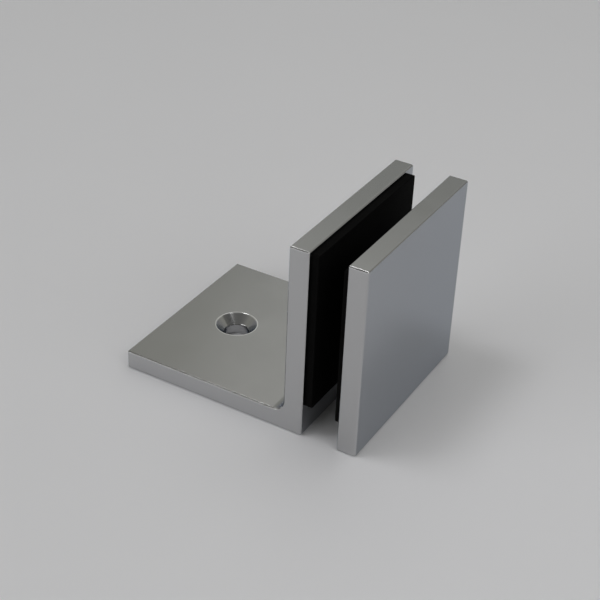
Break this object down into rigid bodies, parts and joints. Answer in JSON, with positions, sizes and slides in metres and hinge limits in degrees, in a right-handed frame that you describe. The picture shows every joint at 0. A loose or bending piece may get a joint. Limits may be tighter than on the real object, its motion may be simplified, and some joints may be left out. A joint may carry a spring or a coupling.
{
  "type": "glass to wall bracket",
  "caption": "Square L-shaped bracket with a countersunk wall hole and a screwed cover plate that clamps a glass panel between rubber pads.",
  "frame": {"origin": "on the wall face, in the axis of the wall hole", "axes": "+Z leads away from the wall, +X from the wall hole to the glass along the clamp screw, +Y along both legs"},
  "size_m": [0.0645, 0.05, 0.05],
  "materials": {
    "satin_chrome": "satin plated",
    "pad_rubber": "matt",
    "screw_steel": "turned",
    "sleeve_plastic": "moulded"
  },
  "bodies": {
    "bracket": {"l_bracket": "satin_chrome", "bracket_pad": "pad_rubber"},
    "sleeve": {"sleeve": "sleeve_plastic"},
    "cover": {"cover_plate": "satin_chrome", "cover_pad": "pad_rubber"},
    "screw": {"clamp_screw": "screw_steel"}
  },
  "joints": [
    {"name": "cover_swivel", "type": "hinge", "parent": "bracket", "child": "sleeve", "pos_m": [0.038, 0, 0.0275], "axis": [1, 0, 0], "continuous": true},
    {"name": "cover_slide", "type": "slide", "parent": "sleeve", "child": "cover", "axis": [1, 0, 0], "range_m": [-0.0012, 0.0045]},
    {"name": "screw_turn", "type": "hinge", "parent": "sleeve", "child": "screw", "pos_m": [0.038, 0, 0.0275], "axis": [1, 0, 0], "range_deg": [-1620, 432]}
  ],
  "couplings": [
    {"joint": "screw_turn", "follows": "cover_slide", "rad_per_m": -6283.2}
  ]
}
